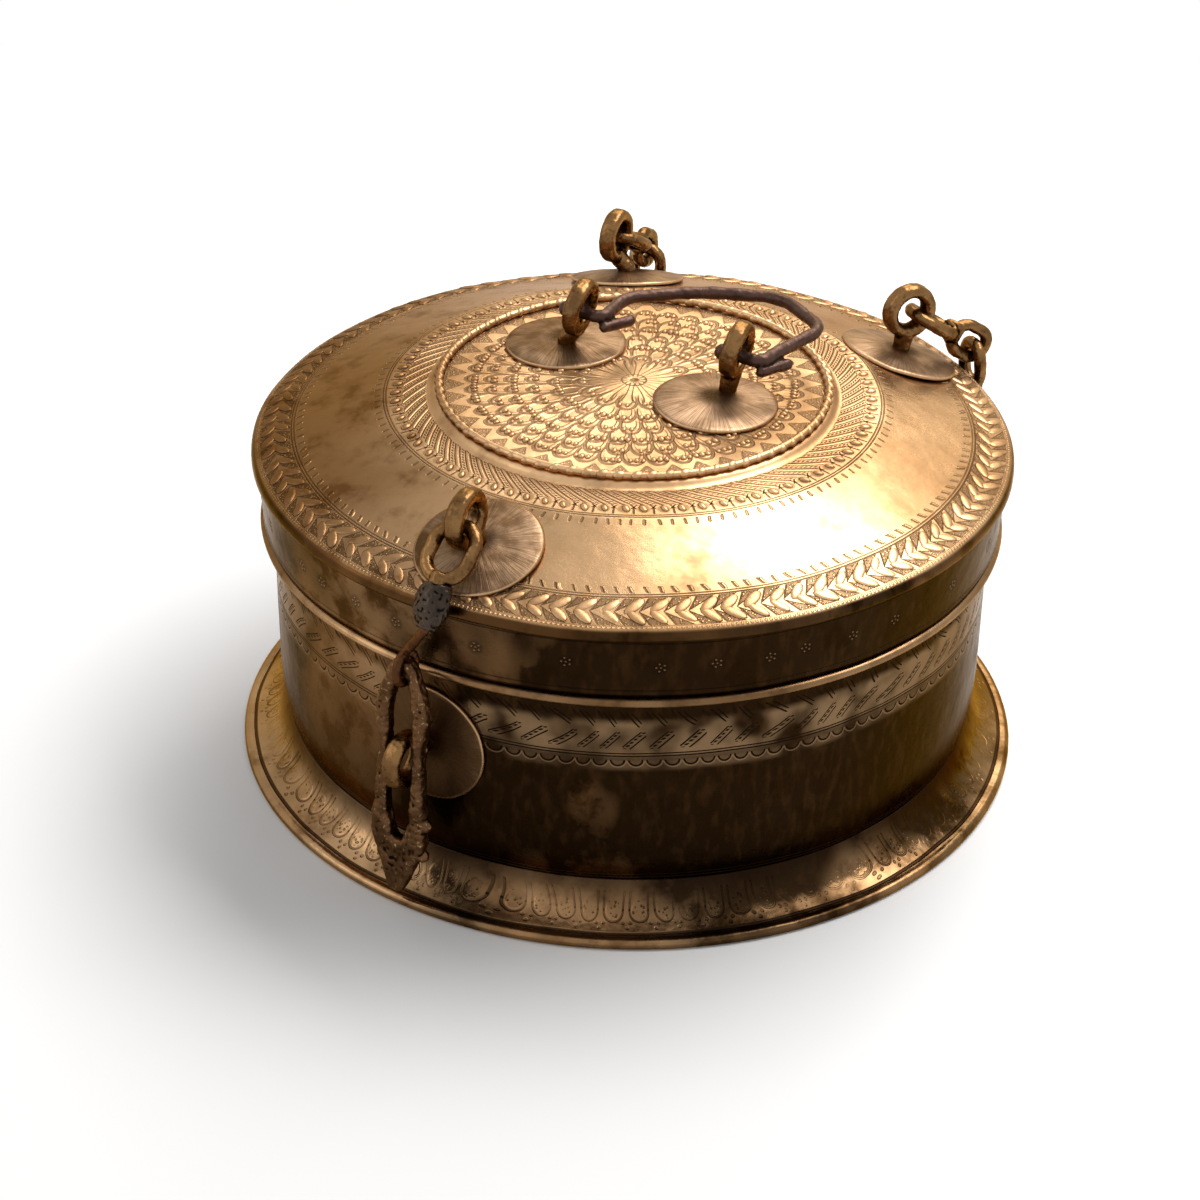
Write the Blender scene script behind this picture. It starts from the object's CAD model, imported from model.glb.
# %% [markdown]
# # A brass paan box
# The solids give every part of the box its size and its place. This script dresses them. Turned sheet metal
# is spun again from finer outlines, forged pieces are worked over so that they look hammered, and the
# chased ornament is laid on with Geometry Nodes where it stands proud, and with shader maths where it is a
# line.

# %% Load the solids
import bpy
import math
import numpy as np
from mathutils import Matrix, Vector, noise


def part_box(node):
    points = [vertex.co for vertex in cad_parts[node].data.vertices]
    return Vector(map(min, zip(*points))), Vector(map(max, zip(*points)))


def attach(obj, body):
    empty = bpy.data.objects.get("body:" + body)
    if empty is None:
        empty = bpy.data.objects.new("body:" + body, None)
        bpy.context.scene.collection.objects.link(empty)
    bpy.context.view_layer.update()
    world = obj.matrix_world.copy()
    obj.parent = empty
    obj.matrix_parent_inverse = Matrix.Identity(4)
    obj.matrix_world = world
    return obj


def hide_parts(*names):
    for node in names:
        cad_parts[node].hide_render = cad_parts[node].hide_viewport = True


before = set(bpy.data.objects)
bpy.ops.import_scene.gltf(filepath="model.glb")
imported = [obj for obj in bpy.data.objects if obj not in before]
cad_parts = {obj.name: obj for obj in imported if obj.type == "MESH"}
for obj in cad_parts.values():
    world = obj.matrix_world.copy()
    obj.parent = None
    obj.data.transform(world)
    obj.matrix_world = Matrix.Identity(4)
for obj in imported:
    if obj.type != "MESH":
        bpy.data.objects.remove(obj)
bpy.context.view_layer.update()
MM = 0.001


# %% [markdown]
# ## Shader maths
# The ornament is worked out from the place of each point on the metal, so the maths needs many small nodes.
# Wrapping a socket in a class lets a formula be written as a formula: each operator adds its own node.

# %% A wire that can be added, multiplied and compared
class Wire:
    """A number in a shader. Arithmetic on it adds Math nodes."""

    def __init__(self, tree, socket):
        self.tree = tree
        self.socket = socket

    @staticmethod
    def of(tree, operation, *values):
        """What a new Math node makes of these values."""
        node = tree.nodes.new("ShaderNodeMath")
        node.operation = operation
        for number, value in enumerate(values):
            plug(tree, node.inputs[number], value)
        return wire(node)

    def math(self, operation, *others):
        return Wire.of(self.tree, operation, self, *others)

    def __add__(self, other):
        return self.math("ADD", other)

    def __sub__(self, other):
        return self.math("SUBTRACT", other)

    def __rsub__(self, other):
        return Wire.of(self.tree, "SUBTRACT", other, self)

    def __mul__(self, other):
        return self.math("MULTIPLY", other)

    def __truediv__(self, other):
        return self.math("DIVIDE", other)

    def __neg__(self):
        return self.math("MULTIPLY", -1.0)

    def __abs__(self):
        return self.math("ABSOLUTE")

    __radd__ = __add__
    __rmul__ = __mul__

    def root(self):
        return self.math("SQRT")

    def fract(self):
        return self.math("FRACT")

    def floor(self):
        return self.math("FLOOR")

    def least(self, other):
        return self.math("MINIMUM", other)

    def most(self, other):
        return self.math("MAXIMUM", other)

    def over(self, level):
        return self.math("GREATER_THAN", level)

    def rise(self, low, high):
        """0 below low, 1 above high, and smooth between; high may be the smaller one."""
        node = self.tree.nodes.new("ShaderNodeMapRange")
        node.interpolation_type = "SMOOTHSTEP"
        plug(self.tree, node.inputs["Value"], self)
        backwards = high < low
        node.inputs["From Min"].default_value = high if backwards else low
        node.inputs["From Max"].default_value = low if backwards else high
        node.inputs["To Min"].default_value = 1.0 if backwards else 0.0
        node.inputs["To Max"].default_value = 0.0 if backwards else 1.0
        return wire(node)


def distance(across, along):
    """How far a point is from another, from the two sides of a right angle."""
    return (across * across + along * along).root()


def plug(tree, socket, value):
    """Links a wire to a socket, or sets the socket's own value."""
    if isinstance(value, Wire):
        tree.links.new(value.socket, socket)
    else:
        socket.default_value = value


def wire(node, socket=0):
    """The wire that leaves a node by this socket."""
    return Wire(node.id_data, node.outputs[socket])


def add_node(tree, kind, settings=None, **values):
    """A node of any kind: its settings first, then the values or wires of its sockets."""
    made = tree.nodes.new(kind)
    for key, value in (settings or {}).items():
        setattr(made, key, value)
    for key, value in values.items():
        plug(tree, made.inputs[key.replace("_", " ")], value)
    return made


# %% [markdown]
# A finish is one material. Its helper makes the nodes that all the metals share: the point on the object in
# millimetres, noise, and the mixing of colours.

# %% One metal finish
WARM_GLANCE = (0.82, 0.63, 0.47)


class Finish:
    """A material with the few nodes that every metal on the box uses."""

    def __init__(self, name):
        self.material = bpy.data.materials.new(name)
        self.material.use_nodes = True
        self.tree = self.material.node_tree
        self.shader = self.tree.nodes["Principled BSDF"]
        self.place = wire(self.node("ShaderNodeTexCoord"), "Object")
        parts = self.node("ShaderNodeSeparateXYZ", Vector=self.place)
        self.x, self.y, self.z = (wire(parts, n) * (1 / MM) for n in range(3))
        self.radius = distance(self.x, self.y)
        self.angle = Wire.of(self.tree, "ARCTAN2", self.y, self.x)

    def node(self, kind, settings=None, **values):
        return add_node(self.tree, kind, settings, **values)

    def noise(self, size_mm, detail=2.0, stretch=(1, 1, 1), rough=0.5):
        """Noise with blotches of about this size, from 0 to 1."""
        mapped = self.node("ShaderNodeMapping", Vector=self.place, Scale=stretch)
        made = self.node(
            "ShaderNodeTexNoise", Vector=wire(mapped), Scale=1 / MM / size_mm, Detail=detail,
            Roughness=rough,
        )
        return wire(made, "Fac")

    def speckle(self, size_mm):
        """Distance to the nearest of many scattered points, in cells of this size."""
        made = self.node("ShaderNodeTexVoronoi", Vector=self.place, Scale=1 / MM / size_mm)
        return wire(made, "Distance")

    def colour(self, share, low, high):
        """A colour between two colours, or two colour sockets."""
        mix = self.node("ShaderNodeMix", {"data_type": "RGBA"})
        plug(self.tree, mix.inputs[0], share)
        for socket, value in ((mix.inputs[6], low), (mix.inputs[7], high)):
            plug(self.tree, socket, value if isinstance(value, Wire) else (*value, 1.0))
        return wire(mix, 2)

    def relief(self, height_mm):
        bump = self.node("ShaderNodeBump", Height=height_mm, Strength=1.0, Distance=MM)
        self.tree.links.new(bump.outputs[0], self.shader.inputs["Normal"])

    def finish(self, base, roughness, metallic=1.0, glance=WARM_GLANCE):
        """Joins the finish up; glance is the tint of the metal where it is seen edge on."""
        self.shader.inputs["Specular Tint"].default_value = (*glance, 1.0)
        plug(self.tree, self.shader.inputs["Base Color"], base)
        plug(self.tree, self.shader.inputs["Roughness"], roughness)
        plug(self.tree, self.shader.inputs["Metallic"], metallic)
        print("finish", self.material.name, "nodes", len(self.tree.nodes))
        return self.material


# %% [markdown]
# ## Turned sheet metal
# The drum, the foot, the lid and its skirt are sheet brass raised and turned to a round. A section drawn as
# radius and height is carried round the axis. Each corner of the section is eased a little, as a hammer
# leaves it, and slow noise pushes the sheet in and out, so that reflections wander as on handmade work.

# %% Ease a section, dent a sheet, make a piece
STILL_MIDDLE = 20.0
SAME_PLACE = 1e-6
UNDENTED = (1.0, 0.0, 0.0)


def eased(points, step, passes):
    """The section cut into short steps, with its corners softened; its ends stay."""
    points = np.array(points, float)
    lengths = np.hypot(*np.diff(points, axis=0).T)
    along = np.concatenate([[0], np.cumsum(lengths)])
    count = max(4, int(along[-1] / step))
    marks = np.linspace(0, along[-1], count)
    line = np.stack([np.interp(marks, along, points[:, k]) for k in (0, 1)], axis=1)
    for _ in range(passes):
        line[1:-1] = 0.25 * line[:-2] + 0.5 * line[1:-1] + 0.25 * line[2:]
    return line


def dented(x, y, z, dent):
    """How far a dent moves the sheet at a point, in mm. Dents are twice as long up it as across it."""
    size, amount, seed = dent
    return amount * noise.noise(Vector((x / size + seed, y / size, z * 0.5 / size + 3.7)))


def in_scene(name, data):
    made = bpy.data.objects.new(name, data)
    bpy.context.scene.collection.objects.link(made)
    return made


def new_piece(name, corners, faces, body, material):
    mesh = bpy.data.meshes.new(name)
    mesh.from_pydata(corners, [], faces)
    mesh.materials.append(material)
    mesh.shade_smooth()
    piece = in_scene(name, mesh)
    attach(piece, body)
    return piece


# %% Carry a section round the axis
def turned_corners(section, segments):
    """The corners of a turned shape, and the numbers of the corners in each of its rings."""
    angles = np.linspace(0, 2 * math.pi, segments, endpoint=False)
    corners, rows = [], []
    for radius, height in section:
        if radius < SAME_PLACE:
            rows.append([len(corners)] * segments)
            corners.append((0.0, 0.0, height))
            continue
        rows.append(list(range(len(corners), len(corners) + segments)))
        corners.extend((radius * math.cos(a), radius * math.sin(a), height) for a in angles)
    return corners, rows


def ring_faces(rows, segments):
    """Faces between each ring and the next, and the last and the first; at the axis they are triangles."""
    faces = []
    for row, after in zip(rows, rows[1:] + rows[:1]):
        for k in range(segments):
            n = (k + 1) % segments
            face = list(dict.fromkeys([row[k], row[n], after[n], after[k]]))
            if len(face) > 2:
                faces.append(face)
    return faces


def spun(node, outside, inside, body, material, segments=288, step=0.9, passes=2,
         dent=UNDENTED, upright=False, centre=(0.0, 0.0)):
    """A turned shell in place of a solid: its outside line, then its inside line back to the start. A dent
    is its size in mm, its depth in mm and a seed. It goes in and out on an upright wall, else up and down."""
    outer = eased(outside, step, passes)
    inner = eased(inside, step * 2.5, passes)
    if np.hypot(*(outer[-1] - inner[0])) < SAME_PLACE:
        inner = inner[1:]
    if np.hypot(*(inner[-1] - outer[0])) < SAME_PLACE:
        inner = inner[:-1]
    corners, rows = turned_corners(np.concatenate([outer, inner]), segments)
    moved = []
    for x, y, z in corners:
        push = dented(x, y, z, dent)
        away = math.hypot(x, y)
        if upright and away > 0:
            x, y = x * (1 + push / away), y * (1 + push / away)
        else:
            z += push * min(1.0, away / STILL_MIDDLE)
        moved.append(((x + centre[0]) * MM, (y + centre[1]) * MM, z * MM))
    faces = ring_faces(rows, segments)
    piece = new_piece(f"{node}_turned", moved, faces, body, material)
    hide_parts(node)
    face_outwards(piece.data)
    print(piece.name, "faces", len(piece.data.polygons))
    return piece


def corners_of(mesh):
    corners = np.empty(len(mesh.vertices) * 3)
    mesh.vertices.foreach_get("co", corners)
    return corners.reshape(-1, 3)


def face_outwards(mesh):
    """Turns a closed shell's faces outwards: its signed volume must not be negative."""
    mesh.calc_loop_triangles()
    corners = corners_of(mesh)
    triangles = np.empty(len(mesh.loop_triangles) * 3, int)
    mesh.loop_triangles.foreach_get("vertices", triangles)
    a, b, c = (corners[triangles.reshape(-1, 3)[:, k]] for k in range(3))
    if np.einsum("ij,ij->i", a, np.cross(b, c)).sum() < 0:
        mesh.flip_normals()


# %% [markdown]
# ## Forged pieces
# Eyes, links, hook, hasp and handle were worked hot. Each copy of a solid is rebuilt from small cubes so
# that its parts flow into each other, smoothed, and then beaten with noise. Where the surface is hollow is
# kept as an attribute, so that the finish can leave dirt there.

# %% Work a solid over
def rebuilt(node, name, grain, soften):
    """A copy of a solid's mesh, rebuilt from cubes of this grain and rubbed smooth."""
    mesh = bpy.data.meshes.new(name)
    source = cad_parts[node].data
    mesh.from_pydata([v.co[:] for v in source.vertices], [], [p.vertices[:] for p in source.polygons])
    rough = in_scene(name, mesh)
    weld = rough.modifiers.new("weld", "WELD")
    weld.merge_threshold = 0.01 * MM
    cubes = rough.modifiers.new("cubes", "REMESH")
    cubes.mode = "VOXEL"
    cubes.voxel_size = grain * MM
    rub = rough.modifiers.new("rub", "SMOOTH")
    rub.factor = 0.5
    rub.iterations = soften
    worked = bpy.data.meshes.new_from_object(rough.evaluated_get(bpy.context.evaluated_depsgraph_get()))
    bpy.data.objects.remove(rough)
    worked.name = name
    return worked


def forged(node, body, material, grain=0.42, hammer=0.30, blow=4.0, soften=3, seed=0.0):
    """A worked copy of a solid. Grain and blow are in mm; hammer is how deep the blows are."""
    name = f"{node}_forged"
    worked = rebuilt(node, name, grain, soften)
    place = corners_of(worked)
    normal = np.array([v.normal[:] for v in worked.vertices])
    scale = 1.0 / (blow * MM)
    beat = np.array([noise.noise(Vector(p * scale) + Vector((seed, 0, 0))) for p in place])
    fine = np.array([noise.noise(Vector(p * scale * 3.1) + Vector((0, seed, 5))) for p in place])
    push = hammer * MM * (0.75 * (beat - 0.25) + 0.35 * fine)
    place = place + normal * push[:, None]
    worked.vertices.foreach_set("co", place.ravel())
    worked.update()
    hollow = hollows(worked, place, normal)
    mark = worked.attributes.new("hollow", "FLOAT", "POINT")
    mark.data.foreach_set("value", hollow)
    worked.materials.clear()
    worked.materials.append(material)
    worked.shade_smooth()
    piece = in_scene(name, worked)
    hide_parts(node)
    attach(piece, body)
    print(name, "faces", len(worked.polygons))
    return piece


def hollows(mesh, place, normal, rounds=6):
    """0 on an edge that hands rub bright, 1 in a hollow: the place against its neighbours' mean."""
    pairs = np.empty(len(mesh.edges) * 2, int)
    mesh.edges.foreach_get("vertices", pairs)
    first, second = pairs.reshape(-1, 2).T
    neighbours = np.bincount(first, minlength=len(place)) + np.bincount(second, minlength=len(place))
    level = place.copy()
    for _ in range(rounds):
        total = np.zeros_like(level)
        np.add.at(total, first, level[second])
        np.add.at(total, second, level[first])
        level = total / np.maximum(neighbours, 1)[:, None]
    depth = np.einsum("ij,ij->i", level - place, normal) / MM
    return np.clip(0.5 + depth * 4.0, 0, 1)


# %% [markdown]
# ## Brass
# Old brass is never one colour: the high places are rubbed to yellow, the flats are brown-gold, and dirt
# stays dark in every chased line. One function gives that to every sheet of the box, from its ornament.

# %% Colours of old brass
RUBBED = (0.68, 0.43, 0.225)
GOLDEN = (0.36, 0.190, 0.080)
BROWNED = (0.120, 0.055, 0.019)
SMOKED = (0.010, 0.0045, 0.0015)
GRIME = (0.014, 0.007, 0.004)


def aged(finish, dirt, tone=0.0, smoke=0.0, shine=0.0):
    """Colour and roughness of old brass: tone browns the piece, smoke blackens it, shine polishes it. Dirt
    runs from 0 to 1, and below 0 where a raised place is rubbed bright."""
    cloud = finish.noise(52, 3.0).rise(0.36, 0.66)
    stain = finish.noise(15, 4.0, rough=0.62).rise(0.46, 0.78)
    drift = finish.noise(70, 3.0, (1, 1, 0.6), rough=0.6).rise(0.30, 0.66)
    rub = finish.noise(3.2, 2.0, (1, 1, 0.4)).rise(0.45, 0.75)
    base = finish.colour(cloud * 0.75, RUBBED, GOLDEN)
    base = finish.colour((stain * 0.40 + tone).most(0.0).least(1.0), base, BROWNED)
    base = finish.colour((drift * smoke + stain * smoke * 0.35).least(0.96), base, SMOKED)
    base = finish.colour(rub * 0.14, base, BROWNED)
    base = finish.colour(dirt.most(0.0), base, GRIME)
    base = finish.colour((dirt * -1.0).most(0.0), base, RUBBED)
    rough = cloud * 0.06 + stain * 0.12 + rub * 0.05 + dirt * 0.30 + (0.22 - shine)
    return base, rough


def less_handled_side(finish):
    """0 where hands take hold of the lid, rising to 1 across it, where the brass stays browner."""
    return ((finish.x * -0.85 - finish.y * 0.52) * (1 / 130)).rise(-0.25, 1.0)


def cells(finish, count, shift=0.0, unsteady=0.0, patch=34.0):
    """Round the box: (place in the cell from -0.5 to 0.5, width of a cell in mm, number of the cell)."""
    turn = finish.angle * (count / (2 * math.pi)) + shift
    if unsteady:
        turn = turn + (finish.noise(patch, 1.0) - 0.5) * unsteady
    return turn.fract() - 0.5, finish.radius * (2 * math.pi / count), turn.floor()


def line(distance, width):
    """1 on a chased line and 0 beside it."""
    return abs(distance).rise(width, width * 0.35)


def between(value, low, high, edge=0.25):
    return value.rise(low - edge, low + edge) * value.rise(high + edge, high - edge)


def stroke(across, along, width, length):
    """A punch mark: a groove of this width and length, with round ends."""
    beyond = (abs(along) - length / 2).most(0.0)
    return (across * across + beyond * beyond).root().rise(width, width * 0.3)


# %% [markdown]
# ## The lid's ornament
# From the rim inwards: a garland of leaf pairs on a stippled ground, a double line with notches, a plain
# band, a second double line with slanting dotted strokes, and inside the beaded wire scales round a
# rosette. Each band gives its height in mm and its dirt; places are radii in mm, and the number of stamps
# follows a place.

# %% Sizes of the lid's ornament
GARLAND = 121.9
GARLAND_HALF = 5.2
LEAF_LEAN = 0.78
LEAVES = 100
RIM_BEADS = (128.1, 520)
OUTER_LINES = (115.3, 116.2)
OUTER_NOTCHES = (113.4, 156)
INNER_NOTCHES = (87.0, 132)
INNER_LINES = (84.0, 84.9)
STROKES = 80
STROKE_BAND = (70.6, 78.4)
FORK_STEM = 81.6
FORK_TINES = 79.5
BOSS_ROW = 80.6
TRIANGLES = 43
TRIANGLE_BAND = (57.6, 64.6)
SCALE_DEPTH = 7.2
SIDE_BOSS = 2.1
PAIR_BOSS = 1.25
BOSS_FROM_TIP = 3.0
# radius of the tips, number of scales, and how far the row is turned
SCALE_ROWS = (
    (20.5, 14, 0.1), (29.0, 22, 0.45), (36.6, 28, 0.2), (43.8, 34, 0.7), (50.6, 38, 0.35), (57.2, 43, 0.5),
)
ROSETTE = (10.0, 12)
ROSETTE_EYE = 4.2


# %% The lid's ornament, from the rim to the plain band
def garland(f, stipple):
    """The ground between the leaf pairs, stippled with ring punches, and the beads on the rim."""
    r = f.radius
    edge = abs(r - GARLAND) * (1 / GARLAND_HALF)
    width = 2 * math.pi * GARLAND / LEAVES
    beside_leaf = abs((f.angle * (LEAVES / (2 * math.pi)) - edge * LEAF_LEAN).fract() - 0.5) * width
    past_leaf = beside_leaf - (4.0 - edge * 2.9)
    in_garland = between(r, GARLAND - GARLAND_HALF, GARLAND + GARLAND_HALF)
    low_ground = past_leaf.rise(-0.15, 0.35)
    outline = line(past_leaf, 0.40)
    rims = line(r - 127.5, 0.28) + line(r - 116.4, 0.22)
    height = in_garland * (low_ground * stipple * 0.40 - low_ground * 0.20 - outline * 0.25) - rims * 0.25
    dirt = in_garland * (low_ground * (1.0 - stipple) * 0.62).most(outline * 0.70).most(rims * 0.45)
    place, count = RIM_BEADS
    u, width, _ = cells(f, count)
    return height + distance(u * width, r - place).rise(0.62, 0.2) * 0.22, dirt


def double_line(f, radii, dark):
    first, second = (line(f.radius - radius, 0.33) for radius in radii)
    return (first + second) * -0.30, first.most(second) * dark


def outer_notches(f):
    """Leaning notches, each with a raised burr beside it."""
    place, count = OUTER_NOTCHES
    u, width, _ = cells(f, count, unsteady=0.9, patch=9.0)
    along = f.radius - place
    across = u * width - along * 0.45
    notch = stroke(across, along, 0.52, 1.8)
    return stroke(across - 0.8, along, 0.6, 1.6) * 0.30 - notch * 0.50, notch * 0.6


def inner_notches(f):
    place, count = INNER_NOTCHES
    u, width, _ = cells(f, count, unsteady=0.8, patch=9.0)
    notch = stroke(u * width, f.radius - place, 0.60, 1.5)
    return notch * -0.4, notch * 0.55


# %% The lid's ornament, inside the plain band
def slanting_strokes(f):
    """Two lines with a row of dots between them, and a ridge."""
    r = f.radius
    slant = (f.angle * (STROKES / (2 * math.pi)) - (r - 71.0) * 0.235).fract()
    inside = between(r, *STROKE_BAND)
    pair = line(slant - 0.22, 0.075) + line(slant - 0.74, 0.075)
    dots = line(slant - 0.48, 0.13) * abs((r * 1.05).fract() - 0.5).rise(0.38, 0.14)
    ridge = abs(slant - 0.98).rise(0.20, 0.02) + abs(slant).rise(0.20, 0.02)
    return inside * (ridge * 0.25 - pair * 0.40 - dots * 0.36), inside * (pair * 0.85 + dots * 0.8)


def forks(f):
    """A stem and two tines between the bosses, and dirt round each boss."""
    r = f.radius
    u, width, _ = cells(f, STROKES, 0.5)
    side = u * width
    fork = stroke(side, r - FORK_STEM, 0.42, 3.0)
    for way in (-0.8, 0.8):
        fork = fork + stroke(side + (r - FORK_TINES - 0.1) * way, r - FORK_TINES, 0.42, 1.6)
    u, width, _ = cells(f, STROKES)
    halo = distance(u * width, r - BOSS_ROW).rise(2.5, 1.7)
    return fork * -0.36, (fork * 0.75).most(halo * 0.45)


def scales(f, row, tip, count, shift):
    """One row of scales: a groove along each edge, a ridge inside it, and dirt round each boss."""
    r = f.radius
    u, width, _ = cells(f, count, shift)
    side = u * width
    half = width * 0.5
    drop = (r - tip) * (half * (1 / SCALE_DEPTH)) + half
    bow = distance(side, drop) - half
    within = drop.rise(-1.2, 0.3) * (tip + 0.8 - r).rise(0.0, 0.5)
    arc = line(bow, 0.55) * within
    ridge = line(bow + 1.0, 0.75) * within
    dirt = arc * 0.55
    spots = ((side, 1.9), (abs(side) - SIDE_BOSS, 1.8)) if row % 2 else ((abs(side) - PAIR_BOSS, 1.8),)
    for beside, size in spots:
        dirt = dirt.most(distance(beside, r - tip + BOSS_FROM_TIP).rise(size, size * 0.6) * 0.32)
    return ridge * 0.22 - arc * 0.36, dirt


def triangles(f, stipple):
    """Stippled triangles against the beaded wire."""
    r = f.radius
    u, width, _ = cells(f, TRIANGLES)
    past_edge = (r - 57.4) * 0.66 - abs(u * width)
    band = between(r, *TRIANGLE_BAND)
    inside = past_edge.rise(0.0, 0.3) * band
    outline = line(past_edge, 0.34) * band
    return inside * stipple * 0.25 - outline * 0.3, (inside * (1.0 - stipple) * 0.52).most(outline * 0.45)


def rosette(f):
    middle, count = ROSETTE
    u, _, _ = cells(f, count, 0.25)
    bow = distance(u * 2.0, (f.radius - middle) * 0.085) - 0.62
    petals = line(bow, 0.10) * between(f.radius, 2.5, 16.0)
    eye = line(f.radius - ROSETTE_EYE, 0.35)
    return petals * -0.35 - eye * 0.3, (petals * 0.6).most(eye * 0.6)


def lid_ornament(f):
    stipple = f.speckle(1.0).rise(0.50, 0.22)
    height, dirt = garland(f, stipple)
    bands = [double_line(f, OUTER_LINES, 0.65), outer_notches(f), double_line(f, INNER_LINES, 0.7)]
    bands += [inner_notches(f), slanting_strokes(f), forks(f)]
    bands += [scales(f, row, *sizes) for row, sizes in enumerate(SCALE_ROWS)]
    bands += [triangles(f, stipple), rosette(f)]
    for band_height, band_dirt in bands:
        height = height + band_height
        dirt = dirt.most(band_dirt)
    return height, dirt


# %% Finish of the lid
lid_finish = Finish("lid brass")
lid_height, lid_dirt = lid_ornament(lid_finish)
lid_scratch = lid_finish.noise(0.9, 3.0) * 0.02 + lid_finish.noise(8.0, 2.0) * 0.16
lid_finish.relief(lid_height + lid_scratch)
handled = lid_finish.radius.rise(88.0, 80.0)
turned_lip = lid_finish.radius.rise(128.4, 129.4)
lid_tone = less_handled_side(lid_finish) * 0.76 - handled * 0.28 + turned_lip * 0.85 + 0.06
lid_base, lid_rough = aged(lid_finish, lid_dirt, tone=lid_tone, smoke=turned_lip * 0.75 + 0.12)
LID_BRASS = lid_finish.finish(lid_base, lid_rough + handled * 0.09)


# %% [markdown]
# ## The drum, skirt and foot
# The drum has a band of slanting strokes below the shoulder bead and a row of scallops under it. The skirt
# is stamped with small five-dot flowers, and the foot with upright petals and groups of three dots.

# %% Ornament of the drum
BAND_GROUPS = 85
SCALLOPS = 134
SCALLOP_LINE = 65.2
DRUM_RULES = ((66.6, 0.26), (67.6, 0.24), (17.9, 0.30), (19.2, 0.26))
STROKES_RIGHT = 72.6
STROKES_LEFT = 80.3


def drum_ornament(f):
    z = f.z + (f.noise(40.0, 1.0) - 0.5) * 2.0
    u, width, _ = cells(f, BAND_GROUPS, unsteady=2.0)
    side = u * width
    depth = f.noise(15.0, 2.0).rise(0.30, 0.62)
    # short strokes leaning left, in twos, with a dark smudge at the top
    lean = side + (z - 80.5) * 0.9
    up = z - STROKES_LEFT
    upper = stroke(lean, up, 0.42, 4.6) + stroke(lean - 1.9, up - 0.6, 0.34, 3.4)
    smudge = stroke(lean + 2.6, up - 2.7, 1.3, 2.4)
    # long strokes leaning right, with dots between them
    slant = side - (z - 72.4) * 1.35
    lower = sum(stroke(slant + aside, z - STROKES_RIGHT, 0.42, 5.8) for aside in (-1.9, 1.5))
    dots = line(slant + 0.2, 0.62) * abs((z * 0.80).fract() - 0.5).rise(0.34, 0.14) * between(z, 69.6, 75.6)
    rules = sum(line(z - height, width) for height, width in DRUM_RULES)
    u, width, _ = cells(f, SCALLOPS, unsteady=1.6)
    hanging = distance(u * width, z - SCALLOP_LINE) - 2.2
    below = z.rise(SCALLOP_LINE, SCALLOP_LINE - 0.6)
    marks = (upper + lower + rules + line(hanging, 0.34) * below).least(1.0)
    height = -(marks * 0.42 + dots * 0.36 + smudge * 0.25)
    worn = between(z, 66.4, 79.5, 1.6) * 0.26 + between(z, 61.5, 65.5, 1.2) * 0.12
    bright_edge = line(hanging - 0.6, 0.35) * below * 0.12
    dark = (marks * 0.9).most(dots * 0.9).most(smudge * 0.8)
    return height * (depth * 0.5 + 0.5), dark - (worn * depth + bright_edge) * (1.0 - dark)


# %% Ornament of the skirt
FLOWERS = 52
FLOWER_PETALS = 5
FLOWER_HEIGHT = 102.2
SKIRT_RULES = ((93.4, 0.25), (111.6, 0.3))


def skirt_ornament(f):
    """Flowers of five dots, set a little off their places, some left out."""
    u, width, number = cells(f, FLOWERS, 0.2)
    offset = (number * 0.37).fract() * 7.0 - 3.5
    x = u * width - offset * 0.8
    z = f.z - FLOWER_HEIGHT - (number * 0.61).fract() * 1.2
    turn = Wire.of(f.tree, "ARCTAN2", z, x) * (FLOWER_PETALS / (2 * math.pi))
    away = distance(x, z)
    part = (turn.fract() - 0.5) * away * (2 * math.pi / FLOWER_PETALS)
    petals = distance(part, away - 1.45).rise(0.62, 0.30)
    heart = away.rise(0.55, 0.25)
    seen = (number * 0.443).fract().over(0.22)
    stamps = (petals + heart).least(1.0) * seen
    halo = away.rise(3.3, 1.8) * seen
    rules = sum(line(f.z - height, width) for height, width in SKIRT_RULES)
    return stamps * 0.50 - rules * 0.25, (halo * 0.35).most(rules * 0.4) * (1.0 - stamps) - stamps * 0.14


# %% Ornament of the foot
FOOT_PETALS = 92
PETAL_TOP = 126.4
PETAL_HALF = 3.2
DOTS_IN = 129.9
DOTS_OUT = 131.6
FOOT_GROOVE = 133.6


def foot_ornament(f):
    """Round-topped petals with groups of three dots between them, more worn in some places."""
    r = f.radius + (f.noise(40.0, 1.0) - 0.5) * 1.6
    u, width, _ = cells(f, FOOT_PETALS, unsteady=2.0)
    side = u * width
    bow = distance(side, r - PETAL_TOP) - PETAL_HALF
    petal = line(bow, 0.42) * (r - PETAL_TOP + 0.2).rise(-0.3, 0.2)
    sides = line(abs(side) - PETAL_HALF, 0.42) * between(r, 122.8, PETAL_TOP)
    inside = bow.rise(-0.5, -1.1) * between(r, 122.6, 129.5)
    stipple = f.speckle(1.3).rise(0.45, 0.15)
    u, width, _ = cells(f, FOOT_PETALS, 0.5, unsteady=2.0)
    side = u * width
    dots = distance(side, r - DOTS_OUT).rise(0.75, 0.35)
    for shift in (-1.25, 1.25):
        dots = dots + distance(side - shift, r - DOTS_IN).rise(0.7, 0.35)
    groove = line(r - FOOT_GROOVE, 0.7)
    depth = f.noise(26.0, 2.0).rise(0.36, 0.60) * 0.80 + 0.12
    near_drum = r.rise(126.0, 120.5) * 0.80
    raised = inside * 0.25 - (petal + sides) * 0.40 - inside * stipple * 0.3 - dots * 0.35
    dirt = ((petal + sides) * 0.7).most(inside * stipple * 0.7).most(dots * 0.6) * depth
    return raised * depth - groove * 0.5, dirt.most(groove * 0.85).most(near_drum)


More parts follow.
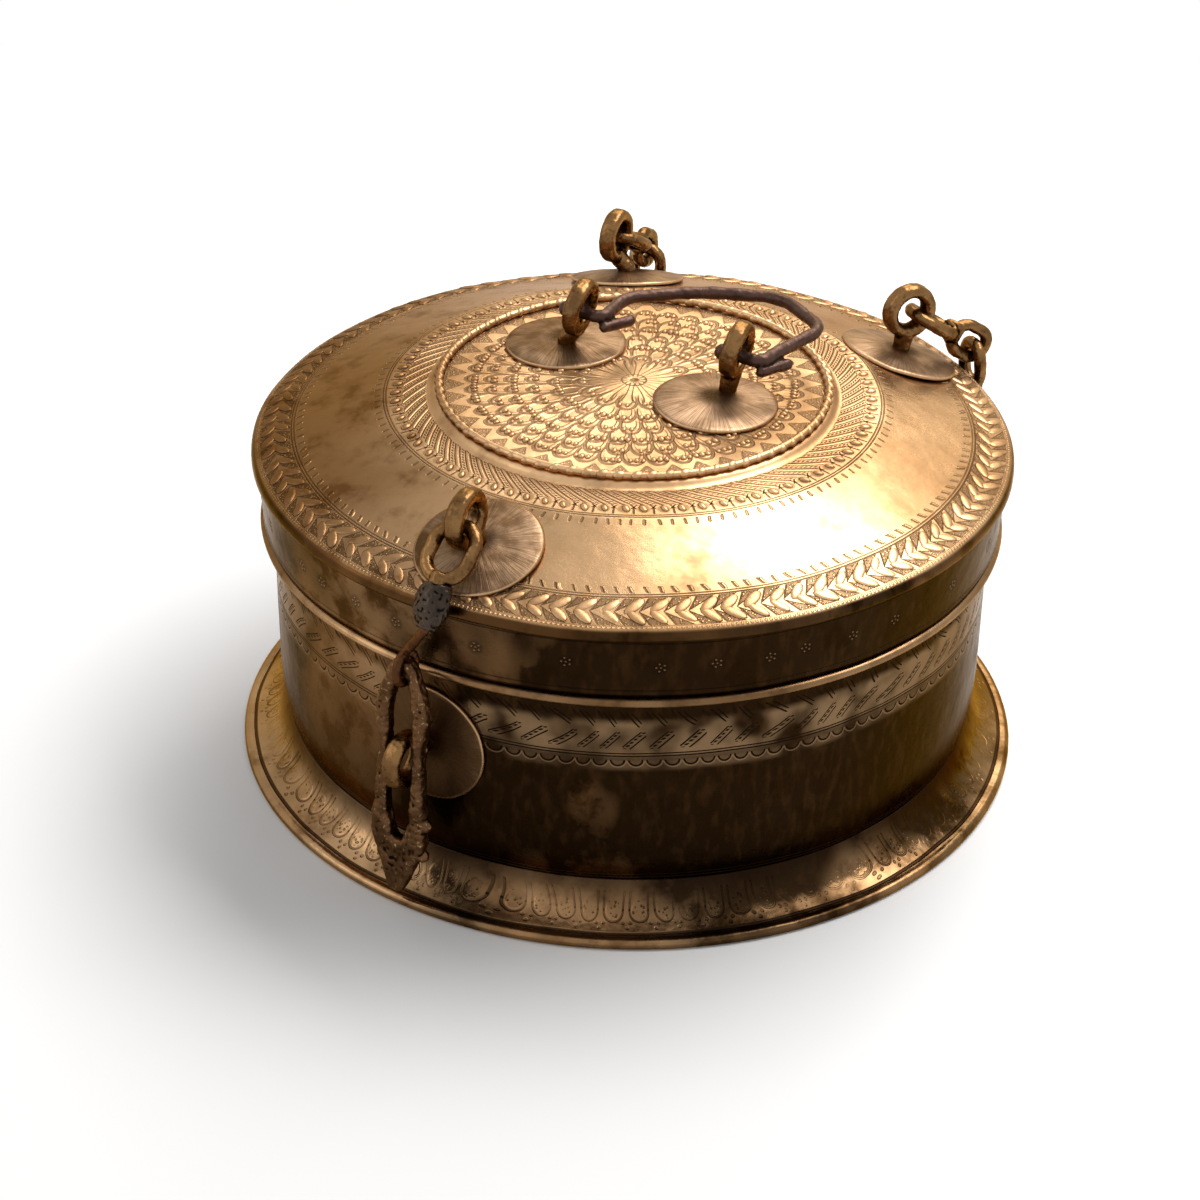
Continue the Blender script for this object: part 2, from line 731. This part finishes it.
# %% Finishes of the sheet brass
DARK_GLANCE = (0.70, 0.59, 0.49)
FOOT_GLANCE = (0.80, 0.54, 0.28)


def sheet_brass(name, ornament=None, tone=0.0, smoke=0.0, shine=0.0, wander=0.10, glance=WARM_GLANCE,
                one_side=0.0):
    """Old sheet brass with its ornament; one_side smokes the side away from the browner one further."""
    f = Finish(name)
    height, dirt = ornament(f) if ornament else (0.0, f.noise(20, 4.0, rough=0.7).rise(0.62, 0.9) * 0.4)
    scratches = f.noise(0.9, 3.0) * 0.02 + f.noise(7.0, 2.0) * wander
    f.relief(scratches + height)
    if one_side:
        smoke = (1.0 - less_handled_side(f)) * one_side + smoke
    base, rough = aged(f, dirt, tone, smoke, shine)
    return f.finish(base, rough, glance=glance)


DRUM_BRASS = sheet_brass(
    "drum brass", drum_ornament, tone=0.92, smoke=1.0, wander=0.26, glance=DARK_GLANCE, one_side=1.2)
SKIRT_BRASS = sheet_brass(
    "skirt brass", skirt_ornament, tone=0.80, smoke=0.9, wander=0.22, glance=DARK_GLANCE, one_side=1.0)
FOOT_BRASS = sheet_brass(
    "foot brass", foot_ornament, tone=0.46, smoke=0.45, wander=0.40, glance=FOOT_GLANCE, one_side=0.6)
BEAD_BRASS = sheet_brass("bead brass", tone=0.45, smoke=0.5, wander=0.10)
PLAIN_BRASS = sheet_brass("plain brass", tone=0.30, smoke=0.25)
CUP_BRASS = sheet_brass("cup brass", shine=0.05)
boss_finish = Finish("boss brass")
boss_finish.relief(boss_finish.noise(2.2, 3.0) * 0.10)
boss_dirt = boss_finish.noise(2.4, 3.0).rise(0.60, 0.85) * 0.4
boss_tone = less_handled_side(boss_finish) * 0.95 - 0.02
boss_base, boss_rough = aged(boss_finish, boss_dirt, tone=boss_tone, shine=-0.10)
BOSS_BRASS = boss_finish.finish(boss_base, boss_rough)


# %% [markdown]
# ## Forged metals
# The eyes and links are brass, rubbed bright on their edges and dark in the hollows. The handle and the
# hook are iron, the hasp a dark rough bronze, and grey solder holds the hook to its ring.

# %% Finishes of the forged pieces
def worked_metal(name, bright, dull, deep, roughness, pits, pit_size=1.6, fleck=None, metallic=1.0):
    """Bright where it is rubbed, dull in places, deep in the hollows; pits and their size are in mm."""
    f = Finish(name)
    hollow = wire(f.node("ShaderNodeAttribute", {"attribute_name": "hollow"}), "Fac")
    cloud = f.noise(9.0, 3.0).rise(0.35, 0.65)
    grain = f.noise(pit_size, 4.0, rough=0.65)
    base = f.colour(cloud * 0.6, bright, dull)
    base = f.colour(hollow.rise(0.50, 0.86), base, deep)
    base = f.colour(grain.rise(0.50, 0.72) * 0.5, base, deep)
    if fleck:
        spark = f.noise(1.1, 3.0).rise(0.58, 0.70) * hollow.rise(0.62, 0.40)
        base = f.colour(spark * 0.6, base, fleck)
    f.relief(grain * pits + f.noise(4.5, 2.0) * pits * 1.2)
    rough = hollow.rise(0.45, 0.8) * 0.22 + grain * 0.14 + roughness
    return f.finish(base, rough, metallic)


FITTING_BRASS = worked_metal(
    "fitting brass", (0.23, 0.122, 0.047), (0.066, 0.031, 0.011), (0.009, 0.0045, 0.002), 0.20, 0.05)
BAIL_IRON = worked_metal(
    "handle iron", (0.085, 0.047, 0.036), (0.045, 0.025, 0.021), (0.010, 0.006, 0.005), 0.28, 0.16,
    metallic=0.8)
HOOK_IRON = worked_metal(
    "hook iron", (0.115, 0.044, 0.017), (0.045, 0.022, 0.012), (0.012, 0.006, 0.004), 0.32, 0.16)
HASP_BRONZE = worked_metal(
    "hasp bronze", (0.125, 0.062, 0.028), (0.042, 0.021, 0.010), (0.008, 0.0045, 0.003), 0.26, 0.08, 1.1,
    fleck=(0.50, 0.32, 0.15))
SOLDER_GREY = worked_metal(
    "grey solder", (0.064, 0.048, 0.037), (0.017, 0.012, 0.009), (0.007, 0.0055, 0.0045), 0.24, 0.30, 6.0)


# %% [markdown]
# ## Washers
# Each eye stands on a disc of sheet brass, filed and turned by hand, so fine marks run out from its middle
# like spokes. A disc is laid on the seat of its own solid, flat and dished on the lid or bent to the wall
# on the drum.

# %% Finish of the washers
DISC_BRIGHT = (0.44, 0.290, 0.180)
DISC_DULL = (0.19, 0.115, 0.062)
DISC_BROWN = (0.062, 0.030, 0.011)


def brushed_disc(name, tone):
    """Filed brass; tone browns it."""
    f = Finish(name)
    brush = wire(f.node("ShaderNodeAttribute", {"attribute_name": "brush"}), "Vector")
    spokes = wire(f.node("ShaderNodeMapping", Vector=brush, Scale=(60.0, 60.0, 0.10)))
    streak = wire(f.node("ShaderNodeTexNoise", Vector=spokes, Scale=1.0, Detail=4.0), "Fac")
    away = wire(f.node("ShaderNodeSeparateXYZ", Vector=brush), "Z")
    cloud = f.noise(8.0, 3.0).rise(0.35, 0.68)
    base = f.colour(streak.rise(0.38, 0.66), DISC_BRIGHT, DISC_DULL)
    browner = less_handled_side(f) * 0.80 + (tone - 0.16)
    base = f.colour((cloud * 0.45 + browner).most(0.0).least(0.95), base, DISC_BROWN)
    base = f.colour(away.rise(9.0, 3.4) * 0.80, base, GRIME)
    base = f.colour(away.rise(20.2, 20.7) * 0.55, base, RUBBED)
    f.relief(streak * 0.10 + f.noise(6.0, 2.0) * 0.16)
    return f.finish(base, streak * 0.16 + cloud * 0.08 + 0.25)


WASHER_BRASS = brushed_disc("washer brass", 0.22)
WALL_WASHER_BRASS = brushed_disc("wall washer brass", 0.65)


# %% Find a disc's seat
def seat_of(node):
    """A disc's centre, two directions across it, the one that points out of the box, its radius, and
    whether it stands on the wall."""
    place = np.array([v.co[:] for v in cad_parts[node].data.vertices]) / MM
    middle = place.mean(axis=0)
    normal = np.linalg.svd(place - middle, full_matrices=False)[2][2]
    on_wall = abs(normal[2]) < 0.3
    outwards = np.array((middle[0], middle[1], 0.0) if on_wall else (0.0, 0.0, 1.0))
    normal = normal * (1.0 if normal @ outwards > 0 else -1.0)
    side = np.cross((0.0, 0.0, 1.0), outwards if on_wall else (0.0, -1.0, 0.0))
    side = side - normal * (side @ normal)
    side = side / np.linalg.norm(side)
    up = np.cross(normal, side)
    local = (place - middle) @ np.stack([side, up, normal], axis=1)
    low, high = local.min(axis=0), local.max(axis=0)
    shift = (low + high) / 2
    centre = middle + side * shift[0] + up * shift[1] + normal * low[2]
    return centre, side, up, normal, (high[0] - low[0]) / 2, on_wall


# %% Lay a disc on its seat
EDGE_DROP = (0.75, 0.22)


def washer(node, body, seed, dome=2.2, sheet=1.0, heart=0.6, spokes=96, rings=24):
    """A dished disc with a wavy edge on the lid, or one bent to the drum's curve on its wall."""
    centre, side, up, normal, reach, on_wall = seat_of(node)
    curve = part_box("drum_wall")[1][0] / MM + 0.1

    def place(radius, angle, level):
        u, v = radius * math.cos(angle), radius * math.sin(angle)
        if on_wall:
            turn = math.atan2(centre[1], centre[0]) + u / curve
            return (curve + level) * math.cos(turn), (curve + level) * math.sin(turn), centre[2] + v
        return tuple(centre + side * u + up * v + normal * level)

    radii = np.concatenate([[reach - 0.25], np.linspace(reach, heart, rings)])
    under = np.linspace(heart, reach - 0.1, 8)
    corners, brush = [], []
    for number, radius in enumerate(np.concatenate([radii, under])):
        below = number >= len(radii)
        for spoke in range(spokes):
            angle = 2 * math.pi * spoke / spokes
            c, s = math.cos(angle), math.sin(angle)
            wobble = noise.noise(Vector((c * 1.6, s * 1.6, seed)))
            ragged = noise.noise(Vector((c * 7.0, s * 7.0, seed)))
            edge = radius * (1 + (0.008 * wobble + 0.004 * ragged) * (radius / reach) ** 3)
            bowl = 0.0 if on_wall else dome * (1 - (radius / reach) ** 2)
            dip = 0.16 * noise.noise(Vector((radius * c / 7, radius * s / 7, seed)))
            level = bowl + min(dip, 0.05) + (0.05 if below else sheet)
            if number < len(EDGE_DROP):
                level = level - sheet * EDGE_DROP[number]
            corners.append(tuple(part * MM for part in place(edge, angle, level)))
            brush.append((c, s, radius))
    rows = [list(range(k, k + spokes)) for k in range(0, len(corners), spokes)]
    faces = ring_faces(rows, spokes)
    # the innermost rings aren't joined: one face closes the top, and one the underside
    last = len(radii) - 1
    faces[last * spokes:(last + 1) * spokes] = [rows[last], rows[last + 1][::-1]]
    metal = WALL_WASHER_BRASS if on_wall else WASHER_BRASS
    piece = new_piece(f"{node}_disc", corners, faces, body, metal)
    mark = piece.data.attributes.new("brush", "FLOAT_VECTOR", "POINT")
    mark.data.foreach_set("vector", np.array(brush, float).ravel())
    face_outwards(piece.data)
    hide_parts(node)
    return piece


# %% [markdown]
# ## The pieces
# Sizes come from the solids. A section runs from the top or the outside first, and comes back along the
# inside.

# %% The lid
def top_of(node):
    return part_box(node)[1][2] / MM


def foot_of(node):
    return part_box(node)[0][2] / MM


def reach_of(node):
    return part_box(node)[1][0] / MM


CROWN = top_of("lid_top")
LIP = reach_of("lid_top")
LIP_LOW = foot_of("lid_top")
STEP = 67.6
BREAK = 84.5
LID_SHEET = 1.3
LID_OUTSIDE = [
    (0, CROWN), (STEP, CROWN - 2.1), (STEP + 1.6, CROWN - 4.0), (BREAK, CROWN - 5.2),
    (LIP - 2.5, CROWN - 19.2), (LIP - 0.7, CROWN - 20.3), (LIP, CROWN - 21.7), (LIP, LIP_LOW),
]
LID_INSIDE = [
    (LIP - LID_SHEET, LIP_LOW), (LIP - LID_SHEET, LIP_LOW + 2.0), (BREAK - 0.3, CROWN - 6.6),
    (STEP + 1.0, CROWN - 5.3), (STEP - 0.6, CROWN - 3.4), (0, CROWN - LID_SHEET),
]
LID_DENTS = (38.0, 0.5, 1.3)
spun("lid_top", LID_OUTSIDE, LID_INSIDE, "lid", LID_BRASS, step=0.7, dent=LID_DENTS)

SKIRT_LOW = foot_of("lid_skirt")
SKIRT_OUTSIDE = [
    (LIP - 1.4, LIP_LOW + 1.6), (LIP - 1.4, LIP_LOW), (LIP - 3.0, SKIRT_LOW + 1.6), (LIP - 3.0, SKIRT_LOW),
]
SKIRT_INSIDE = [
    (LIP - 4.6, SKIRT_LOW), (LIP - 4.6, SKIRT_LOW + 1.6), (LIP - 4.2, SKIRT_LOW + 3.2),
    (LIP - 2.6, LIP_LOW), (LIP - 2.6, LIP_LOW + 2.0),
]
spun("lid_skirt", SKIRT_OUTSIDE, SKIRT_INSIDE, "lid", SKIRT_BRASS,
     dent=(30.0, 0.4, 4.0), upright=True)

# %% [markdown]
# ## Beads, leaves and bosses
# What is punched up from behind stands proud of the sheet: a rope of beads, the garland's leaf pairs, and
# bosses in the scales. One Geometry Nodes tree sets a row of them round the lid, each half sunk and a
# little uneven. Rows are stacked as modifiers on one carrier, so each kind ends as one plain mesh.

# %% A row of bosses as a node tree
ROW_INPUTS = (
    ("Count", "Int"), ("Facets", "Int"), ("Radius", "Float"), ("Height", "Float"), ("Slope", "Float"),
    ("Start", "Float"), ("Turn", "Float"), ("Size", "Vector"), ("Unevenness", "Float"), ("Seed", "Int"),
    ("Metal", "Material"),
)


def boss_row_tree():
    tree = bpy.data.node_groups.new("boss row", "GeometryNodeTree")
    tree.interface.new_socket("Geometry", in_out="INPUT", socket_type="NodeSocketGeometry")
    for name, kind in ROW_INPUTS:
        tree.interface.new_socket(name, in_out="INPUT", socket_type=f"NodeSocket{kind}")
    tree.interface.new_socket("Geometry", in_out="OUTPUT", socket_type="NodeSocketGeometry")
    given = tree.nodes.new("NodeGroupInput")
    count, facets, radius, height, slope, start, turn, size, unevenness, seed, metal = (
        wire(given, name) for name, _ in ROW_INPUTS)

    def add(kind, settings=None, **values):
        return wire(add_node(tree, kind, settings, **values))

    def uneven(shift):
        """A random number from -1 to 1 for each boss, times the unevenness."""
        node = add_node(tree, "FunctionNodeRandomValue", {"data_type": "FLOAT"}, Seed=seed + shift)
        plug(tree, node.inputs[2], -1.0)
        plug(tree, node.inputs[3], 1.0)
        return wire(node, 1) * unevenness

    angle = (add("GeometryNodeInputIndex") + start + uneven(0) * 0.16) * (2 * math.pi) / count
    reach = radius + uneven(1) * (0.5 * MM)
    across, along = reach * angle.math("COSINE"), reach * angle.math("SINE")
    points = add("GeometryNodePoints", Count=count,
                 Position=add("ShaderNodeCombineXYZ", X=across, Y=along, Z=height))
    lying = add("FunctionNodeEulerToRotation", Euler=add("ShaderNodeCombineXYZ", Y=slope, Z=angle))
    askew = add("ShaderNodeCombineXYZ", Z=turn + uneven(2) * 0.16)
    twist = add("FunctionNodeEulerToRotation", Euler=askew)
    turned = add("FunctionNodeRotateRotation", {"rotation_space": "LOCAL"}, Rotation=lying, Rotate_By=twist)
    ball = add("GeometryNodeMeshUVSphere", Segments=facets, Rings=facets * 0.6, Radius=0.5)
    spread = uneven(3) * 0.16 + 1.0
    scaled = add("ShaderNodeVectorMath", {"operation": "SCALE"}, Vector=size, Scale=spread)
    placed = add(
        "GeometryNodeInstanceOnPoints", Points=points, Instance=ball, Rotation=turned, Scale=scaled)
    joined = add_node(tree, "GeometryNodeJoinGeometry")
    for pieces in (wire(given, "Geometry"), placed):
        plug(tree, joined.inputs[0], pieces)
    real = add("GeometryNodeRealizeInstances", Geometry=wire(joined))
    smooth = add("GeometryNodeSetShadeSmooth", Geometry=real)
    finished = add("GeometryNodeSetMaterial", Geometry=smooth, Material=metal)
    add_node(tree, "NodeGroupOutput", Geometry=finished)
    return tree


BOSS_ROW_TREE = boss_row_tree()


# %% Raise rows on the lid
def on_lid(radius):
    """Height of the lid's outside at a radius, and how steeply it falls there."""
    reach, up = np.array(LID_OUTSIDE).T
    height = np.interp(radius, reach, up)
    fall = np.interp(radius - 1.0, reach, up) - np.interp(radius + 1.0, reach, up)
    return height, math.atan2(fall, 2.0)


def boss_row(count, radius, size, start=0.5, turn=0.0, facets=8, unevenness=1.0, seed=0, proud=0.0):
    """One row round the lid: sizes in mm, along, across and deep; start in shares of the spacing."""
    height, slope = on_lid(radius)
    return {
        "Count": count, "Facets": facets, "Radius": radius * MM, "Height": (height + proud) * MM,
        "Slope": slope, "Start": start, "Turn": turn, "Size": tuple(c * MM for c in size),
        "Unevenness": unevenness, "Seed": seed, "Metal": BOSS_BRASS,
    }


def raise_rows(name, rows):
    carrier = in_scene(name, bpy.data.meshes.new(f"{name}_start"))
    inputs = [item for item in BOSS_ROW_TREE.interface.items_tree if item.in_out == "INPUT"]
    sockets = {item.name: item.identifier for item in inputs}
    for row in rows:
        modifier = carrier.modifiers.new("row", "NODES")
        modifier.node_group = BOSS_ROW_TREE
        for key, value in row.items():
            modifier[sockets[key]] = value
    mesh = bpy.data.meshes.new_from_object(carrier.evaluated_get(bpy.context.evaluated_depsgraph_get()))
    carrier.modifiers.clear()
    carrier.data = mesh
    for corner in mesh.vertices:
        x, y, z = (c / MM for c in corner.co)
        corner.co.z += dented(x, y, z, LID_DENTS) * min(1.0, math.hypot(x, y) / STILL_MIDDLE) * MM
    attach(carrier, "lid")
    print(name, "rows", len(rows), "faces", len(mesh.polygons))
    return carrier


# %% The rope of beads, the garland, and the bosses
ROPE_LOW, ROPE_HIGH = (corner[2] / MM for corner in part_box("medallion_ring"))
ROPE = reach_of("medallion_ring") - (ROPE_HIGH - ROPE_LOW) / 2
ROPE_BEADS = 78
ROPE_BEAD = (5.0, 3.2, 2.9)
ROPE_TWIST = math.radians(90 + 26)
LEAF = (8.0, 3.5, 1.0)
LEAF_TURN = math.radians(90 - 40)
LEAF_APART = 2.1
SIDE_SIZE = (2.6, 1.8, 1.5)
MIDDLE_SIZE = (3.0, 2.1, 1.8)
BAND_BOSS = (4.2, 2.4, 1.6)
BAND_BOSS_TURN = math.radians(25)

rope_above_lid = (ROPE_LOW + ROPE_HIGH) / 2 - on_lid(ROPE)[0]
raise_rows("rope_beads", [
    boss_row(ROPE_BEADS, ROPE, ROPE_BEAD, turn=ROPE_TWIST, facets=10, unevenness=0.3,
             proud=rope_above_lid, seed=1),
])
leaf_start = 0.5 + LEAF_LEAN * LEAF_APART / GARLAND_HALF
raise_rows("garland_leaves", [
    boss_row(LEAVES, GARLAND + side * LEAF_APART, LEAF, start=leaf_start, facets=10, unevenness=0.7,
             seed=5 + side, turn=LEAF_TURN if side > 0 else math.pi - LEAF_TURN)
    for side in (-1, 1)
])
scale_rows = []
for row, (tip, count, shift) in enumerate(SCALE_ROWS):
    radius = tip - BOSS_FROM_TIP
    spread = SIDE_BOSS if row % 2 else PAIR_BOSS
    step_aside = spread * count / (2 * math.pi * radius)
    bosses = [(-step_aside, SIDE_SIZE), (step_aside, SIDE_SIZE)]
    if row % 2:
        bosses.append((0.0, MIDDLE_SIZE))
    for aside, size in bosses:
        scale_rows.append(boss_row(count, radius, size, start=0.5 - shift + aside, seed=20 + row))
raise_rows("scale_bosses", scale_rows)
raise_rows("inner_band_bosses", [
    boss_row(STROKES, BOSS_ROW, BAND_BOSS, turn=BAND_BOSS_TURN, unevenness=0.7, seed=50),
])

# %% The drum and its foot
WALL = reach_of("drum_wall")
WALL_TOP = top_of("drum_wall")
SEAM = foot_of("drum_wall")
SHEET = 1.2
WAIST_IN = 2.5
WAIST_HEIGHT = 21.5


def swell(inset):
    """The drum's wall, drawn in to its waist, from the top down."""
    share = np.linspace(0, 1, 9)
    waist = [(WALL - inset - WAIST_IN * t**2.2, SEAM + WAIST_HEIGHT * (1 - t)) for t in share]
    return [(WALL - inset, WALL_TOP)] + waist


spun("drum_wall", swell(0), swell(SHEET)[::-1], "box", DRUM_BRASS,
     dent=(34.0, 0.55, 7.7), upright=True)

ROLL = 1.9
FOOT = reach_of("foot_ring") - ROLL
FOOT_TOP = top_of("foot_ring")
FOOT_SHEET = 1.3
FLARE_LOW = 3.5
FLARE_SAG = 2.6


def trumpet(inset):
    """The foot's flare from the drum down to the rolled rim, hanging inside its chord."""
    share = np.linspace(0, 1, 14)
    waist = WALL - WAIST_IN
    radius = waist + (FOOT - 1.45 - waist) * share
    height = FOOT_TOP + (FLARE_LOW - FOOT_TOP) * share
    inwards = (FLARE_SAG * np.sin(share * math.pi) + inset) * 0.7
    return list(zip(radius - inwards, height - inwards))


def rolled():
    """The rim rolled over its wire, flat where it rests."""
    turn = np.radians(np.linspace(110, -160, 22))
    return [(FOOT + ROLL * math.cos(a), max(0.0, 1.7 + ROLL * math.sin(a))) for a in turn]


spun("foot_ring", trumpet(0.0) + rolled(), trumpet(FOOT_SHEET)[::-1], "box", FOOT_BRASS,
     step=0.6, passes=1)

# %% Bead, neck and floor
BEAD = reach_of("shoulder_bead") - WALL
BEAD_HALF = 2.15
half_round = [(WALL + 0.05 + (BEAD - 0.05) * math.sin(a), WALL_TOP - BEAD_HALF + BEAD_HALF * math.cos(a))
              for a in np.linspace(0, math.pi, 15)]
spun("shoulder_bead", half_round, [half_round[-1], half_round[0]], "box", BEAD_BRASS,
     step=0.45, passes=1)

NECK = WALL - SHEET - 0.1
NECK_IN = 1.9
outside = [(NECK - NECK_IN, top_of("neck_collar")), (NECK, WALL_TOP), (NECK, foot_of("neck_collar"))]
inside = [(radius - SHEET, height) for radius, height in reversed(outside)]
spun("neck_collar", outside, inside, "box", PLAIN_BRASS, step=1.4, passes=1)

FLOOR_LOW = foot_of("floor_plate")
FLOOR_TOP = FLOOR_LOW + 1.4
FLOOR_LIP = FLOOR_LOW + 5
FLOOR_EDGE = reach_of("floor_plate")
spun("floor_plate", [(0, FLOOR_TOP), (FLOOR_EDGE - 1.4, FLOOR_TOP), (FLOOR_EDGE - 1.4, FLOOR_LIP)],
     [(FLOOR_EDGE, FLOOR_LIP), (FLOOR_EDGE, FLOOR_LOW), (0, FLOOR_LOW)], "box", PLAIN_BRASS,
     step=2.5, passes=1, segments=144)

# %% Cups
CUP_SHEET = 1.2
CUP_FOOT = 25
CUP_LIP = 1
for cup in sorted(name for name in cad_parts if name.startswith("cup_")):
    low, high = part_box(cup)
    middle = ((low[0] + high[0]) / 2 / MM, (low[1] + high[1]) / 2 / MM)
    brim = (high[0] - low[0]) / 2 / MM
    stand, mouth = low[2] / MM, high[2] / MM
    outside = [(0, stand), (CUP_FOOT, stand), (brim - CUP_LIP, mouth - CUP_LIP), (brim, mouth - CUP_LIP),
               (brim, mouth)]
    inside = [(brim - CUP_LIP - CUP_SHEET, mouth), (CUP_FOOT - CUP_SHEET, stand + CUP_SHEET),
              (0, stand + CUP_SHEET)]
    spun(cup, outside, inside, cup, CUP_BRASS, segments=96, step=1.6, passes=1, centre=middle)

# %% Eyes, links, handle and hasp
LID_EYES = ("front_eye", "hinge_eye_right", "hinge_eye_left", "handle_eye_left", "handle_eye_right")
STAPLES = ("hasp_staple", "hinge_staple_right", "hinge_staple_left")
for number, name in enumerate(LID_EYES):
    forged(name, "lid", FITTING_BRASS, seed=number * 7.0)
    washer(name.replace("eye", "eye_washer"), "lid", number * 3.1)
for number, name in enumerate(STAPLES):
    forged(name, "box", FITTING_BRASS, seed=40 + number * 7.0)
    washer(name.replace("staple", "staple_washer"), "box", 20 + number * 3.1)
for number, (level, side) in enumerate((a, b) for a in ("upper", "lower") for b in ("right", "left")):
    forged(f"hinge_link_{level}_{side}", f"{level}_link_{side}", FITTING_BRASS,
           hammer=0.36, seed=70 + number * 5.0)
forged("hasp_ring", "hasp_link", FITTING_BRASS, seed=91)
forged("neck_wrap", "hasp_link", SOLDER_GREY, hammer=1.35, blow=5.0, soften=6, seed=94)
forged("hasp_hook", "hasp_link", HOOK_IRON, grain=0.36, hammer=0.22, blow=2.6, seed=97)
forged("hasp", "hasp", HASP_BRONZE, hammer=0.7, blow=5.0, seed=100)
forged("bail_handle", "bail", BAIL_IRON, grain=0.45, hammer=0.4, blow=5.0, seed=103)

for name, material in (("foot_rim_wire", HOOK_IRON), ("medallion_ring", LID_BRASS)):
    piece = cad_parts[name]
    piece.data.materials.clear()
    piece.data.materials.append(material)


# %% [markdown]
# ## Floor, light and camera
# A plain pale floor and soft light. The large lamp stands behind the box and high, a little to the right,
# so that the near side of the lid shines; the rest is an even pale room.

# %% Floor
FLOOR_HALF = 6.0
FLOOR_GREY = (0.92, 0.92, 0.92, 1)


def pale_floor():
    """Pale and matt round the box, where its shadow lies, and plain white to the camera further out."""
    material = bpy.data.materials.new("pale floor")
    material.use_nodes = True
    tree = material.node_tree
    shader = tree.nodes["Principled BSDF"]
    shader.inputs["Base Color"].default_value = FLOOR_GREY
    shader.inputs["Roughness"].default_value = 0.9
    path = add_node(tree, "ShaderNodeLightPath")
    where = wire(add_node(tree, "ShaderNodeTexCoord"), "Object")
    away = wire(add_node(tree, "ShaderNodeVectorMath", {"operation": "LENGTH"}, Vector=where), "Value")
    seen = wire(path, "Is Camera Ray").most(wire(path, "Is Glossy Ray"))
    mixed = add_node(tree, "ShaderNodeMixShader")
    white = wire(add_node(tree, "ShaderNodeEmission"))
    for socket, value in zip(mixed.inputs, (away.rise(0.30, 0.75) * seen, wire(shader), white)):
        plug(tree, socket, value)
    plug(tree, tree.nodes["Material Output"].inputs["Surface"], wire(mixed))
    mesh = bpy.data.meshes.new("floor")
    around = ((-1, -1), (1, -1), (1, 1), (-1, 1))
    mesh.from_pydata([(x * FLOOR_HALF, y * FLOOR_HALF, 0) for x, y in around], [], [(0, 1, 2, 3)])
    mesh.materials.append(material)
    in_scene("floor", mesh)


pale_floor()


# %% Lamps
LAMPS = (
    ("key", (0.24, 0.62, 1.25), (0, 0, 0.08), (1.15, 0.72), 19.0, (1.0, 0.98, 0.96)),
    ("back", (-0.42, 1.20, 0.96), (0, 0, 0.12), (0.80, 0.40), 5.0, (1.0, 0.98, 0.96)),
    ("fill", (-0.9, -0.8, 0.9), (0, 0, 0.05), (0.8, 0.8), 2.0, (1.0, 0.97, 0.93)),
)
for name, place, target, size, watts, colour in LAMPS:
    light = bpy.data.lights.new(name, "AREA")
    light.shape = "RECTANGLE"
    light.size, light.size_y = size
    light.energy = watts
    light.color = colour
    lamp = in_scene(name, light)
    lamp.location = place
    lamp.rotation_euler = (Vector(target) - Vector(place)).to_track_quat("-Z", "Y").to_euler()


# %% Room
def pale_room():
    """White to the camera and in every reflection, and softer even light on matt surfaces."""
    room = bpy.data.worlds.new("pale room")
    room.use_nodes = True
    bpy.context.scene.world = room
    tree = room.node_tree
    path = add_node(tree, "ShaderNodeLightPath")
    seen = wire(path, "Is Camera Ray")
    for ray in ("Is Glossy Ray", "Is Transmission Ray"):
        seen = seen.most(wire(path, ray))
    sky = tree.nodes["Background"]
    plug(tree, sky.inputs["Strength"], seen.most(0.45))
    sky.inputs["Color"].default_value = (1.0, 1.0, 1.0, 1)


pale_room()


# %% Camera
CAMERA_PLACE = Vector((0.4571, -0.7627, 0.5919))
CAMERA_TARGET = Vector((-0.0088, -0.0054, 0.0487))
CAMERA_ROLL = math.radians(0.91)
view = bpy.data.cameras.new("camera")
view.sensor_width = 36.0
view.lens = 88.27
camera = in_scene("camera", view)
camera.location = CAMERA_PLACE
facing = (CAMERA_TARGET - CAMERA_PLACE).to_track_quat("-Z", "Y").to_matrix()
camera.rotation_euler = (facing @ Matrix.Rotation(CAMERA_ROLL, 3, "Z")).to_euler()
bpy.context.scene.camera = camera
bpy.context.scene.view_settings.view_transform = "Standard"
